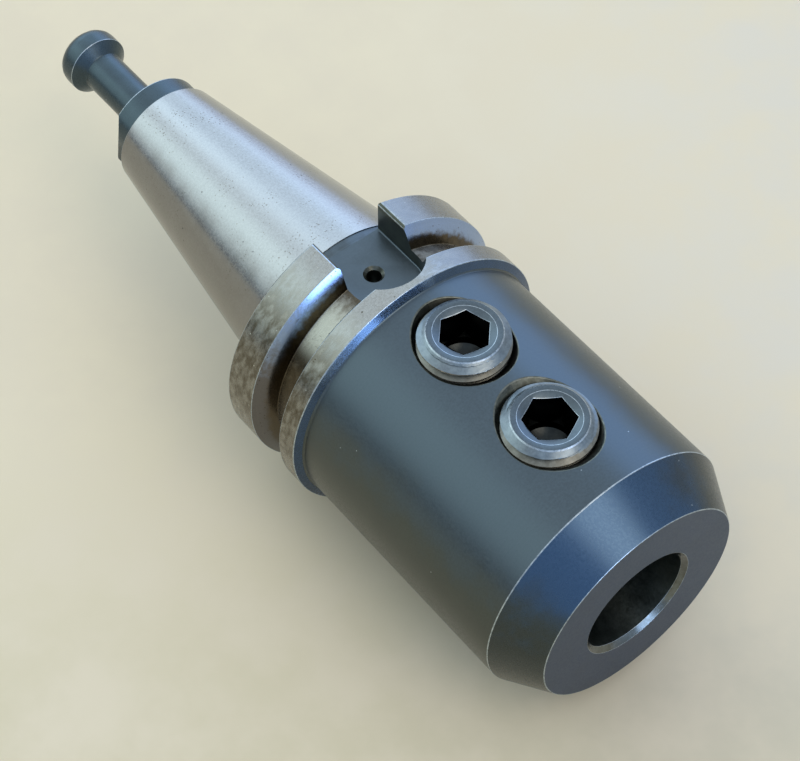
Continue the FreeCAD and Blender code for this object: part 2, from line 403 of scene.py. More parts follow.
def blend(tree, amount, first, second):
    """Two colours mixed by an amount."""
    mixed = add(tree, "ShaderNodeMix", {"Factor": amount, 6: first, 7: second}, data_type="RGBA")
    return mixed.outputs[2]


def close_finish(tree, colour, rough, texture, depth, height):
    """The shader: bare or oxidised steel, its roughness and bump both following the texture."""
    roughness = add(tree, "ShaderNodeMapRange", {"Value": texture, "From Min": 0.2, "From Max": 0.8,
                                                 "To Min": rough - ROUGH_SPREAD,
                                                 "To Max": rough + ROUGH_SPREAD})
    bump = add(tree, "ShaderNodeBump", {"Height": height, "Strength": 1.0, "Distance": depth * MM})
    shader = add(tree, "ShaderNodeBsdfPrincipled", {"Base Color": colour, "Metallic": 1.0,
                                                    "Roughness": roughness.outputs[0],
                                                    "Normal": bump.outputs[0]})
    add(tree, "ShaderNodeOutputMaterial", {"Surface": shader.outputs[0]})


def turned_steel(name, tone, worn, rough, patch=6.0, share=0.5, stretch=1.0, pitch=0.5, rings=0.05,
                 grain=0.05, depth=0.004, marks=(), painted_light_bands=()):
    """Steel turned about the spindle, then ground, oxidised or left to wear.

    patch, share and stretch: size of the worn patches, how much of the worn colour they take, and how
    much longer they are round the axis than along it. pitch, rings, depth: spacing, shade and height of
    the tool's rings. grain: shade of the fine grain. marks: (colour, cell, radius, share of cells)
    and, if they gather in patches, the size of those. painted_light_bands: painted light and shade, as
    (colour, where it starts, where it is full, share), measured by the radius, or by the cosine from an
    angle about the spindle, given fifth.
    """
    material, tree, place = new_finish(name)
    longer = add(tree, "ShaderNodeVectorMath", {0: place, 1: (stretch, 1, 1)}, operation="MULTIPLY")
    coarse = blotches(tree, longer.outputs[0], patch, 0.32, 0.68, detail=6.0)
    amount = add(tree, "ShaderNodeMath", {0: coarse, 1: share}, operation="MULTIPLY").outputs[0]
    colour = blend(tree, amount, linear(tone), linear(worn))
    across = add(tree, "ShaderNodeVectorMath", {0: place, 1: (0, 1, 1)}, operation="MULTIPLY").outputs[0]
    outward = add(tree, "ShaderNodeVectorMath", {0: across}, operation="NORMALIZE").outputs[0]
    # painted light and shade: each band tints a range of radii or the side that it faces
    for tint, start, full, most, *toward in painted_light_bands:
        if toward:
            aim = about_spindle(0, 1, math.radians(toward[0]))
            along = add(tree, "ShaderNodeVectorMath", {0: outward, 1: aim}, operation="DOT_PRODUCT")
        else:
            along = add(tree, "ShaderNodeVectorMath", {0: across}, operation="LENGTH")
        ragged = add(tree, "ShaderNodeMath", {0: coarse, 1: (full - start) / 2, 2: along.outputs["Value"]},
                     operation="MULTIPLY_ADD")
        shifted = (full - start) / 4
        inside = add(tree, "ShaderNodeMapRange", {"Value": ragged.outputs[0], "From Min": start + shifted,
                                                  "From Max": full + shifted, "To Max": most},
                     interpolation_type="SMOOTHSTEP")
        colour = blend(tree, inside.outputs[0], colour, linear(tint))
    turning = lay(tree, place, pitch)
    fine = blotches(tree, place, 0.7, 0.25, 0.75, detail=2.0)
    shade = add(tree, "ShaderNodeMapRange", {"Value": turning, "From Min": 0.25, "From Max": 0.75,
                                             "To Min": 1 - rings, "To Max": 1 + rings})
    grained = add(tree, "ShaderNodeMapRange", {"Value": fine, "To Min": 1 - grain, "To Max": 1 + grain})
    both = add(tree, "ShaderNodeMath", {0: shade.outputs[0], 1: grained.outputs[0]}, operation="MULTIPLY")
    shaded = add(tree, "ShaderNodeVectorMath", {0: colour, "Scale": both.outputs[0]}, operation="SCALE")
    colour = shaded.outputs[0]
    for tint, cell, radius, cells, *patch_size in marks:
        spots = dots(tree, place, cell, radius, cells)
        if patch_size:
            gathered = blotches(tree, place, patch_size[0], 0.5, 0.62, detail=2.0)
            spots = add(tree, "ShaderNodeMath", {0: spots, 1: gathered}, operation="MULTIPLY").outputs[0]
        colour = blend(tree, spots, colour, linear(tint))
    relief = add(tree, "ShaderNodeMath", {0: turning, 1: fine}, operation="ADD")
    close_finish(tree, colour, rough, fine, depth, relief.outputs[0])
    return material


DUST = ("#B9C4CC", 3.0, 0.22, 0.03)         # single specks of pale dust, drawn larger than they are
PITS = ("#2E2D2B", 2.0, 0.35, 0.02)         # rust pits


# Every finish of the holder, the screws and the stud. Each comment names the real surface, how it was made
# and how it has worn, and where light or shade is painted into it.
STEEL = {
    # Hardened steel, ground round and round: bright, nearly neutral, with faint rings, fine brown age
    # marks and single pits; its upper side is painted lighter as a painted highlight
    "ground_taper": turned_steel("ground_taper", "#868584", "#7A7874", 0.20, patch=9.0, share=0.3, pitch=1.5,
                                 rings=0.02, grain=0.09, depth=0.0015,
                                 painted_light_bands=(("#9C9D9E", 0.40, 0.74, 1.0, 85),),
                                 marks=(("#6E6B66", 0.8, 0.28, 0.30, 16.0), ("#7E7B75", 1.0, 0.25, 0.06),
                                        PITS)),
    # Turned relief behind and in front of the cone: the same oxide as the body
    "turned_relief": turned_steel("turned_relief", "#566067", "#474C4E", 0.38, patch=4.0, rings=0.1),
    # Rim of the flange, rubbed by grippers: the black oxide is worn to mottled brown and grey; grey and pale
    # painted highlights on its upper side
    "worn_land_and_highlight": turned_steel("worn_land_and_highlight", "#8C8A83", "#504839", 0.27, patch=4.0, share=0.85, stretch=2.0,
                              pitch=0.3, rings=0.05, grain=0.07, depth=0.0015,
                              painted_light_bands=(("#86888A", 0.80, 0.97, 0.8, 52), ("#B6BABA", 0.86, 1.02, 0.7, 104)),
                              marks=(("#4B4336", 1.6, 0.4, 0.10, 9.0), ("#C9CAC4", 1.6, 0.3, 0.05))),
    # Back flank of the gripper groove: smooth brown oxide, with a painted reflection of the blue sky on its
    # outer half and a lighter brown painted on its lower side as painted light
    "groove_back_flank": turned_steel("groove_back_flank", "#5A5040", "#40382D", 0.22, patch=2.5, share=0.7,
                                      rings=0.03, grain=0.06, depth=0.001,
                                      painted_light_bands=(("#94A8CA", 44.6, 47.0, 0.95),
                                             ("#63594A", 0.10, 0.45, 0.85, 222)),
                                      marks=(("#3F362A", 0.9, 0.25, 0.12),)),
    # Floor and front flank of the groove: oxidised and browned by handling, with a pale painted highlight on
    # its upper side and painted shade on the side turned to -Y
    "groove_wall": turned_steel("groove_wall", "#645E52", "#3D362B", 0.25, patch=3.2, share=0.9, stretch=1.5,
                                rings=0.05, grain=0.08, depth=0.0015,
                                painted_light_bands=(("#B0B0A8", 0.95, 1.0, 0.8, 126), ("#453D30", 0.30, 0.75, 0.8, 200)),
                                marks=(("#3F362A", 0.9, 0.25, 0.12),)),
    # Front face of the flange: turned and blued, seldom touched; a brighter blue is painted at its top as a
    # painted reflection of the sky
    "flange_front": turned_steel("flange_front", "#4A5C76", "#445469", 0.26, patch=5.0, share=0.5, rings=0.0,
                                 grain=0.0, depth=0.0, painted_light_bands=(("#8299B6", 0.84, 0.98, 1.0, 110),)),
    # Black oxide over finely turned steel: slate and even, with specks of dust; its upper side is painted
    # bluer as a painted reflection of the sky
    "oxide_body": turned_steel("oxide_body", "#545957", "#4C504D", 0.33, patch=14.0, share=0.35, pitch=0.6,
                               rings=0.02, grain=0.06, depth=0.0015,
                               painted_light_bands=(("#525D65", 0.45, 0.80, 1.0, 105),),
                               marks=(("#2A3238", 3.0, 0.3, 0.01), DUST)),
    # The same oxide over a smoother bevel, painted blue on its upper side as a painted reflection of the sky
    "oxide_bevel_painted_sky": turned_steel("oxide_bevel_painted_sky", "#474D4E", "#42484A", 0.30, patch=14.0, share=0.35, pitch=0.6,
                                rings=0.02, grain=0.04, depth=0.0005,
                                painted_light_bands=(("#455A72", 0.45, 0.90, 1.0, 105),), marks=(DUST,)),
    # Faced nose: the tool left fine rings that scatter the light to a lilac grey
    "faced_nose": turned_steel("faced_nose", "#4C586C", "#475262", 0.42, patch=10.0, share=0.4, pitch=0.4,
                               rings=0.03, grain=0.05, depth=0.002,
                               marks=(DUST, ("#DCE3E8", 5.0, 0.45, 0.10))),
    # Bevel at the mouth of the bore, polished by the shanks that go in and out
    "bore_mouth": turned_steel("bore_mouth", "#737776", "#4C483E", 0.20, patch=3.0, share=0.6, rings=0.05),
    # Bore and its bottom: ground, then stained by oil
    "bored_wall": turned_steel("bored_wall", "#7B827E", "#4A504D", 0.32, patch=9.0, share=0.8, rings=0.05),
    # Floor of the drive slot: milled, then oxidised, smooth slate
    "milled_slot": turned_steel("milled_slot", "#555F66", "#4A5359", 0.36, patch=8.0, share=0.4, rings=0.02,
                                grain=0.05, depth=0.0015, marks=(DUST,)),
    # Walls of the drive slot and its small bevel, stained olive by oil
    "slot_wall": turned_steel("slot_wall", "#55584F", "#41443F", 0.36, patch=4.0, share=0.6, rings=0.03,
                              grain=0.08),
    # Countersinks: the tool's chatter and oil left them olive grey
    "countersink": turned_steel("countersink", "#5C605B", "#3A3C37", 0.34, patch=2.4, share=0.8, rings=0.06),
    # The same beside the flange, painted darker as painted shade there
    "countersink_painted_shade": turned_steel("countersink_painted_shade", "#30312D", "#1F201D", 0.34, patch=2.4, share=0.8,
                                     rings=0.06),
    # Rim of a countersink, a little rubbed
    "hole_rim": turned_steel("hole_rim", "#6C706C", "#4C4F47", 0.34, patch=2.0, share=0.8, rings=0.03),
    # Corners rubbed through the oxide to bright steel
    "worn_edge": turned_steel("worn_edge", "#B6C1CA", "#808B95", 0.30, patch=1.5, share=0.7, grain=0.1),
    # Top of a lock screw: turned, then blackened and rubbed
    "screw_top": turned_steel("screw_top", "#5B656C", "#515B62", 0.34, patch=4.0, share=0.5, rings=0.03,
                              grain=0.10, depth=0.001),
    # Bevel of the top, rubbed lighter by the wrench
    "screw_bevel": turned_steel("screw_bevel", "#808B92", "#68727A", 0.32, patch=2.4, share=0.7, rings=0.03,
                                grain=0.08, depth=0.001),
    # Threads of a lock screw: rolled and browned by old oil
    "screw_thread": turned_steel("screw_thread", "#7E7E77", "#62615A", 0.40, patch=2.5, share=0.7, rings=0.03,
                                 grain=0.12, depth=0.002),
    # Crests of those threads, rubbed by the wrench hand and the hole
    "thread_crest": turned_steel("thread_crest", "#E4D9C8", "#A8987F", 0.42, patch=2.0, share=0.6, rings=0.03,
                                 grain=0.12, depth=0.002),
    # Key socket: broached, and painted near black as painted shade deep inside it
    "screw_socket": turned_steel("screw_socket", "#303333", "#1B1D1E", 0.22, patch=3.0, share=0.6,
                                 rings=0.03),
    # Pull stud: turned, hardened and blackened
    "stud_turned": turned_steel("stud_turned", "#49555C", "#3F4A50", 0.30, patch=7.0, share=0.4, rings=0.04,
                                grain=0.05, depth=0.002, marks=(DUST,)),
}


# Holder

def taper_radius(x):
    """Radius of the cone at x."""
    return GAUGE_R + x * TAPER_SLOPE


def holder_outline():
    """Outside from the small end to the nose, then back through the bore."""
    groove_back = GROOVE_MID - GROOVE_HALF
    groove_front = GROOVE_MID + GROOVE_HALF
    return [
        (SMALL_END, PILOT_R, 0.2, "turned_relief"),
        (SMALL_END, taper_radius(SMALL_END) - END_BREAK, 0.2, "turned_relief"),
        (SMALL_END + END_BREAK, taper_radius(SMALL_END + END_BREAK), 0.2, "ground_taper"),
        (TAPER_TOP, taper_radius(TAPER_TOP), 0.12, "turned_relief"),
        (TAPER_TOP, NECK_R, 0.1, "turned_relief"),
        (FLANGE_BACK, NECK_R, 0.6, "turned_relief"),
        (FLANGE_BACK, FLANGE_R - BACK_BREAK, 0.2, "worn_land_and_highlight"),
        (FLANGE_BACK + BACK_BREAK, FLANGE_R, 0.2, "worn_land_and_highlight"),
        (groove_back, FLANGE_R, 0.25, "groove_back_flank"),
        (groove_back + GROOVE_FLANK / 2 + FLANK_CROWN, FLANGE_R - FLANK_CROWN_DROP, FLANK_CROWN_ROUND,
         "groove_back_flank"),
        (groove_back + GROOVE_FLANK, GROOVE_R, 0.4, "groove_wall"),
        (groove_front - GROOVE_FLANK, GROOVE_R, 0.4, "groove_wall"),
        (groove_front, FLANGE_R, 0.25, "worn_land_and_highlight"),
        (FLANGE_FRONT, FLANGE_R, 0.35, "flange_front"),
        (FLANGE_FRONT + FRONT_LEAN, BODY_R, 0.8, "oxide_body"),
        (BEVEL_START, BODY_R, 0.8, "oxide_bevel_painted_sky"),
        (NOSE, FACE_R, 0.35, "faced_nose"),
        (NOSE, BORE_R + BORE_MOUTH, 0.15, "bore_mouth"),
        (NOSE - BORE_MOUTH, BORE_R, 0.15, "bored_wall"),
        (BORE_END, BORE_R, 0.6, "bored_wall"),
        (BORE_END - (BORE_R - PASSAGE_R) * POINT_SLOPE, PASSAGE_R, 0.3, "bored_wall"),
        (STUD_HOLE_END + (STUD_HOLE_R - PASSAGE_R) * POINT_SLOPE, PASSAGE_R, 0, "bored_wall"),
        (STUD_HOLE_END, STUD_HOLE_R, 0, "bored_wall"),
        (PILOT_END, STUD_HOLE_R, 0, "bored_wall"),
        (PILOT_END, PILOT_R, 0, "bored_wall"),
    ]


def slot_tool():
    """Milling shape of both drive slots: straight walls, round end, a small fillet at the floor."""
    form = bmesh.new()
    bends = [math.radians(90 * i / SLOT_FILLET_STEPS) for i in range(SLOT_FILLET_STEPS + 1)]
    for side in (1, -1):
        levels = [(SLOT_FILLET * (1 - math.sin(a)), SLOT_FILLET * (1 - math.cos(a))) for a in bends]
        levels.append((0.0, FLANGE_R - SLOT_FLOOR + OVERRUN))
        rows = []
        for inset, rise in levels:
            half = SLOT_HALF - inset
            height = side * (SLOT_FLOOR + rise)
            path = [(-OVERRUN, -half), (-OVERRUN, half)]
            for i in range(SLOT_END_STEPS + 1):
                angle = math.radians(90 - 180 * i / SLOT_END_STEPS)
                path.append((SLOT_CENTRE + half * math.cos(angle), half * math.sin(angle)))
            rows.append([form.verts.new((x, y, height)) for x, y in path])
        faces = [form.faces.new(rows[0]), form.faces.new(rows[-1])]
        for low, high in zip(rows, rows[1:]):
            for i in range(len(low)):
                j = (i + 1) % len(low)
                faces.append(form.faces.new((low[i], low[j], high[j], high[i])))
        for face in faces:
            face.material_index = HOLDER.index("milled_slot")
        for face in faces[-len(rows[0]):]:
            face.material_index = HOLDER.index("slot_wall")
    return solid(form, "slot_tool", HOLDER)


def lip_tool():
    """Four wedges that bevel the slots' edges at the rim, each bevel with a rubbed edge on both sides."""
    form = bmesh.new()
    edge_angle = math.asin(SLOT_HALF / FLANGE_R)
    edge_height = FLANGE_R * math.cos(edge_angle)

    def on_rim(distance):
        angle = edge_angle + distance / FLANGE_R
        return Vector((FLANGE_R * math.sin(angle), FLANGE_R * math.cos(angle)))

    wall = Vector((SLOT_HALF, edge_height - SLOT_LIP))
    rim = on_rim(SLOT_LIP)
    slope = (rim - wall).normalized()
    outward = Vector((-slope.y, slope.x))
    outline = [
        wall - Vector((0, LIP_RUB)),
        wall + slope * LIP_RUB,
        rim - slope * LIP_RUB,
        on_rim(SLOT_LIP + LIP_RUB),
        rim + outward * OVERRUN,
        wall + outward * OVERRUN,
    ]
    names = [EDGE, "slot_wall", EDGE, EDGE, EDGE, EDGE]
    for up in (1, -1):
        for side in (1, -1):
            rows = [[form.verts.new((x, side * p.x, up * p.y)) for p in outline]
                    for x in (FLANGE_BACK - OVERRUN, GROOVE_MID - GROOVE_HALF + OVERRUN)]
            form.faces.new(rows[0])
            form.faces.new(rows[1])
            for i, name in enumerate(names):
                j = (i + 1) % len(outline)
                face = form.faces.new((rows[0][i], rows[0][j], rows[1][j], rows[1][i]))
                face.material_index = HOLDER.index(name)
    return solid(form, "lip_tool", HOLDER)


def hole_tool():
    """Drills and countersinks of the two lock screws' holes and of the small hole in the slot."""
    mouth_rise = BODY_R + OVERRUN
    # the rear hole's countersink takes the darker finish of painted shade
    rear, front = [[
        (0, 0, "bored_wall"),
        (0, HOLE_R, "bored_wall"),
        (BODY_R - (HOLE_MOUTH_R - HOLE_R), HOLE_R, mouth),
        (mouth_rise, HOLE_MOUTH_R + OVERRUN, mouth),
        (mouth_rise, 0, mouth),
    ] for mouth in ("countersink_painted_shade", "countersink")]
    pin_foot = SLOT_FLOOR - PIN_DEPTH
    pin = [
        (pin_foot - PIN_R * POINT_SLOPE, 0, "bored_wall"),
        (pin_foot, PIN_R, "bored_wall"),
        (SLOT_FLOOR - (PIN_MOUTH_R - PIN_R), PIN_R, "hole_rim"),
        (SLOT_FLOOR + OVERRUN, PIN_MOUTH_R + OVERRUN, "hole_rim"),
        (SLOT_FLOOR + OVERRUN, 0, "hole_rim"),
    ]
    form = bmesh.new()
    for x, outline in ((REAR_X, rear), (FRONT_X, front), (PIN_X, pin)):
        one = turned(outline, HOLDER, AROUND_SMALL, about_screw)
        bmesh.ops.translate(one, verts=one.verts, vec=(x, 0, 0))
        join(form, one)
    return solid(form, "hole_tool", HOLDER)


SPINDLE_TURNED = ["ground_taper", "turned_relief", "worn_land_and_highlight", "groove_back_flank", "groove_wall",
                  "flange_front", "oxide_body", "oxide_bevel_painted_sky", "faced_nose", "bore_mouth"]
HOLDER = SPINDLE_TURNED + ["bored_wall", "milled_slot", "slot_wall", "countersink", "countersink_painted_shade",
                           "hole_rim", "worn_edge"]

holder_form = turned(rounded(holder_outline()), HOLDER, AROUND, closed=True)
holder = solid(holder_form, "holder_turned_and_milled", HOLDER)
cut(holder, slot_tool())
cut(holder, lip_tool())
cut(holder, hole_tool())
rub_edges(holder, HOLDER, "oxide_body", ("countersink", "countersink_painted_shade"), HOLE_RIM, "hole_rim")
smooth(holder, SPINDLE_TURNED)
hand_over(holder, "holder", "holder_body")


# Pull stud

STUD = ["stud_turned", "worn_edge"]
stud_outline = [
    (STUD_END, 0, 0, "stud_turned"),
    (STUD_END, HEAD_R, HEAD_ROUND, "stud_turned"),
    (HEAD_FRONT, HEAD_R, 0.3, "stud_turned"),
    (UNDER_HEAD, STUD_NECK_R, 0.8, "stud_turned"),
    (COLLAR_BACK, STUD_NECK_R, 1.2, "stud_turned"),
    (COLLAR_BACK, COLLAR_R, 0.5, "stud_turned"),
    (SMALL_END, COLLAR_R, 0.2, "stud_turned"),
    (SMALL_END, STUD_PILOT_R, 0, "stud_turned"),
    (STUD_PILOT_END, STUD_PILOT_R, 0.2, "stud_turned"),
    (STUD_PILOT_END, STUD_THREAD_R, 0, "stud_turned"),
    (STUD_TIP, STUD_THREAD_R, 1.0, "stud_turned"),
    (STUD_TIP, 0, 0, "stud_turned"),
]


def flats_tool():
    """Two blocks that mill the wrench flats on the stud's collar."""
    form = bmesh.new()
    for side in (0, 180):
        corners = bmesh.ops.create_cube(form, size=1.0)["verts"]
        length = SMALL_END - COLLAR_BACK + OVERRUN
        grown = Matrix.Diagonal((length, 4 * COLLAR_R, 2 * COLLAR_R, 1))
        moved = Matrix.Translation((SMALL_END - length / 2, 0, FLAT_HALF + COLLAR_R))
        tilted = Matrix.Rotation(math.radians(side + FLATS_TURN), 4, "X")
        bmesh.ops.transform(form, matrix=tilted @ moved @ grown, verts=corners)
    return solid(form, "flats_tool", STUD)


stud = solid(turned(rounded(stud_outline), STUD, AROUND_SMALL), "pull_stud_turned", STUD)
cut(stud, flats_tool())
smooth(stud, STUD)
hand_over(stud, "holder", "pull_stud")


# Lock screws

def thread_tree():
    """Geometry Nodes tree of a threaded shank, standing on the origin along Z."""
    tree = bpy.data.node_groups.new("threaded_shank", "GeometryNodeTree")
    sockets = tree.interface
    sockets.new_socket("Geometry", in_out="OUTPUT", socket_type="NodeSocketGeometry")
    for kind, names in (("Float", ("Length", "Pitch", "Crest Radius", "Depth", "Top Radius", "Top Bevel",
                                   "Tip Radius", "Tip Bevel", "Run Out", "Start")),
                        ("Int", ("Columns", "Rows Per Turn")), ("Material", ("Finish",))):
        for name in names:
            sockets.new_socket(name, in_out="INPUT", socket_type="NodeSocket" + kind)
    given = add(tree, "NodeGroupInput").outputs

    def calc(operation, *values, **settings):
        made = add(tree, "ShaderNodeMath", dict(enumerate(values)), operation=operation, **settings)
        return made.outputs[0]

    # The sheet reaches one turn below the foot, because its rows climb by one pitch round the shank.
    run = calc("ADD", given["Length"], given["Pitch"])
    rows = calc("CEIL", calc("DIVIDE", calc("MULTIPLY", run, given["Rows Per Turn"]), given["Pitch"]))
    sheet_run = calc("DIVIDE", calc("MULTIPLY", rows, given["Pitch"]), given["Rows Per Turn"])
    sheet = add(tree, "GeometryNodeMeshGrid", {"Size X": 1.0, "Size Y": 1.0,
                                               "Vertices X": calc("ADD", given["Columns"], 1),
                                               "Vertices Y": calc("ADD", rows, 1)})
    spot = add(tree, "ShaderNodeSeparateXYZ", {0: add(tree, "GeometryNodeInputPosition").outputs[0]})
    round_share = calc("ADD", spot.outputs[0], 0.5)
    climbed = calc("MULTIPLY", calc("ADD", spot.outputs[1], 0.5), sheet_run)
    turns = calc("DIVIDE", climbed, given["Pitch"])
    height = calc("ADD", calc("SUBTRACT", climbed, given["Pitch"]),
                  calc("MULTIPLY", round_share, given["Pitch"]))
    z = calc("MINIMUM", calc("MAXIMUM", height, 0.0), given["Length"])
    # Distance from the crest as a share of half a pitch: flat crest, straight flank, flat root.
    from_crest = calc("MULTIPLY", calc("ABSOLUTE", calc("SUBTRACT", calc("FRACT", turns), 0.5)), 2.0)
    flank = add(tree, "ShaderNodeMapRange", {"Value": from_crest, "From Min": CREST_SHARE,
                                             "From Max": ROOT_SHARE})
    # The groove fades to nothing at the top, so that the rim there is a full circle.
    grown = calc("DIVIDE", calc("SUBTRACT", given["Length"], z), given["Run Out"], use_clamp=True)
    sunk = calc("MULTIPLY", calc("MULTIPLY", flank.outputs[0], given["Depth"]), grown)
    thread = calc("SUBTRACT", given["Crest Radius"], sunk)
    top_step = calc("SUBTRACT", given["Crest Radius"], given["Top Radius"])
    top_rate = calc("DIVIDE", top_step, given["Top Bevel"])
    top = calc("ADD", given["Top Radius"], calc("MULTIPLY", calc("SUBTRACT", given["Length"], z), top_rate))
    tip_step = calc("SUBTRACT", given["Crest Radius"], given["Tip Radius"])
    tip_rate = calc("DIVIDE", tip_step, given["Tip Bevel"])
    tip = calc("ADD", given["Tip Radius"], calc("MULTIPLY", z, tip_rate))
    radius = calc("MINIMUM", calc("MINIMUM", thread, top), tip)
    angle = calc("MULTIPLY", calc("ADD", round_share, given["Start"]), math.tau)
    place = add(tree, "ShaderNodeCombineXYZ", {0: calc("MULTIPLY", radius, calc("COSINE", angle)),
                                               1: calc("MULTIPLY", radius, calc("SINE", angle)), 2: z})
    bent = add(tree, "GeometryNodeSetPosition", {"Geometry": sheet.outputs[0], "Position": place.outputs[0]})
    joined = add(tree, "GeometryNodeMergeByDistance", {"Geometry": bent.outputs[0], "Distance": 1e-4})
    real = add(tree, "GeometryNodeRealizeInstances", {0: joined.outputs[0]})
    painted = add(tree, "GeometryNodeSetMaterial", {"Geometry": real.outputs[0], "Material": given["Finish"]})
    add(tree, "NodeGroupOutput", {0: painted.outputs[0]})
    return tree


def threaded_shank(tree, length, start):
    """The tree's result for one screw, as a bmesh. start: share of a turn by which its thread is turned."""
    carrier = linked("shank", bpy.data.meshes.new("shank"))
    step = carrier.modifiers.new("thread", "NODES")
    step.node_group = tree
    sizes = {"Length": length, "Pitch": PITCH, "Crest Radius": SCREW_R, "Depth": THREAD_DEPTH,
             "Top Radius": TOP_R, "Top Bevel": TOP_BEVEL, "Tip Radius": TIP_R, "Tip Bevel": TIP_BEVEL,
             "Run Out": RUN_OUT, "Start": start, "Columns": AROUND_SMALL, "Rows Per Turn": ROWS_PER_TURN,
             "Finish": STEEL["screw_thread"]}
    for socket in tree.interface.items_tree:
        if socket.in_out == "INPUT":
            step[socket.identifier] = sizes[socket.name]
    settle(carrier)
    form = bmesh.new()
    form.from_mesh(carrier.data)
    bpy.data.objects.remove(carrier)
    for face in form.faces:
        face.material_index = SCREW.index("screw_thread")
        middle = face.calc_center_median()
        out = math.hypot(middle.x, middle.y)
        bevel = TOP_R + (length - middle.z) * (SCREW_R - TOP_R) / TOP_BEVEL
        if out > bevel - SKIN or middle.z > length - RUBBED_TOP:
            face.material_index = SCREW.index("screw_bevel")
        if out > SCREW_R - SKIN:
            face.material_index = SCREW.index("thread_crest")
    return form


SCREW = ["screw_thread", "screw_top", "screw_bevel", "screw_socket", "thread_crest", "worn_edge"]


def socket_tool(length):
    """Tools for the key socket of a screw on the origin: hexagon, shallow countersink, drilled bottom."""
    mouth_slope = math.tan(math.radians(MOUTH_ANGLE))
    flat_angle = math.radians(30)
    corner = SOCKET_HALF / math.cos(flat_angle)
    foot = length - SOCKET_DEPTH
    drill_foot = length - SOCKET_DRILL_DEPTH
    form = bmesh.new()
    rows = [[form.verts.new(about_screw(z, corner, math.radians(60 * i))) for i in range(6)]
            for z in (foot, length + OVERRUN)]
    form.faces.new(rows[0])
    form.faces.new(rows[1])
    for i in range(6):
        j = (i + 1) % 6
        form.faces.new((rows[0][i], rows[0][j], rows[1][j], rows[1][i]))
    for face in form.faces:
        face.material_index = SCREW.index("screw_socket")
    prism = solid(form, "socket_prism", SCREW)
    mouth = [
        (length - SOCKET_MOUTH_R * mouth_slope, 0, "screw_top"),
        (length - MOUTH_LINE, SOCKET_MOUTH_R - MOUTH_LINE / mouth_slope, EDGE),
        (length, SOCKET_MOUTH_R, "screw_top"),
        (length + OVERRUN * mouth_slope, SOCKET_MOUTH_R + OVERRUN, "screw_top"),
        (length + OVERRUN * mouth_slope, 0, "screw_top"),
    ]
    drilled = [
        (drill_foot - SOCKET_DRILL_R * POINT_SLOPE, 0, "screw_socket"),
        (drill_foot, SOCKET_DRILL_R, "screw_socket"),
        (foot + SOCKET_OVERLAP, SOCKET_DRILL_R, "screw_socket"),
        (foot + SOCKET_OVERLAP, 0, "screw_socket"),
    ]
    tools = [prism]
    for name, outline in (("socket_mouth", mouth), ("socket_drill", drilled)):
        tools.append(solid(turned(outline, SCREW, AROUND_SMALL, about_screw), name, SCREW))
    return tools


def lock_screw(name, node_name, turn, crest, tree):
    """One lock screw in place. turn: of its socket, in degrees. crest: angle and depth of one crest."""
    x, foot, top = SCREWS[node_name]
    length = top - foot
    crest_angle, crest_drop = crest
    climbed = (length - crest_drop) / PITCH + 0.5
    start = round(((crest_angle - turn) / 360 - climbed % 1.0) * AROUND_SMALL) / AROUND_SMALL
    form = threaded_shank(tree, length - TOP_BREAK, start)
    ends = [
        [(length - TOP_BREAK, TOP_R, EDGE), (length, TOP_R - TOP_BREAK, "screw_top"),
         (length, 0, "screw_top")],
        [(0, 0, "screw_top"), (0, TIP_R, "screw_top")],
    ]
    for outline in ends:
        join(form, turned(outline, SCREW, AROUND_SMALL, about_screw))
    bmesh.ops.remove_doubles(form, verts=form.verts, dist=JOIN_WELD)
    piece = solid(form, name, SCREW)
    for tool in socket_tool(length):
        cut(piece, tool)
    rub_edges(piece, SCREW, "screw_socket", ("screw_top",), SOCKET_RIM)
    smooth(piece)
    piece.data.transform(Matrix.Translation((x, 0, foot)) @ Matrix.Rotation(math.radians(turn), 4, "Z"))
    return piece


shank_tree = thread_tree()
rear_screw = lock_screw("rear_screw_threaded", "rear_lock_screw", REAR_TURN, REAR_CREST, shank_tree)
hand_over(rear_screw, "rear_screw", "rear_lock_screw")
front_screw = lock_screw("front_screw_threaded", "front_lock_screw", FRONT_TURN, FRONT_CREST, shank_tree)
hand_over(front_screw, "front_screw", "front_lock_screw")


# Floor, light and camera

FLOOR_TILT = 0.0342         # the holder lies on its flange and on the edge of its bevel
FLOOR_HALF = 6000.0
LENS = 101.23               # focal length in millimetres, for a sensor of 36 mm
EYE = (373.64, -276.74, 593.72)
EYE_RIGHT = (0.6277, 0.7785, -0.0002)
EYE_AHEAD = (-0.4603, 0.371, -0.8065)


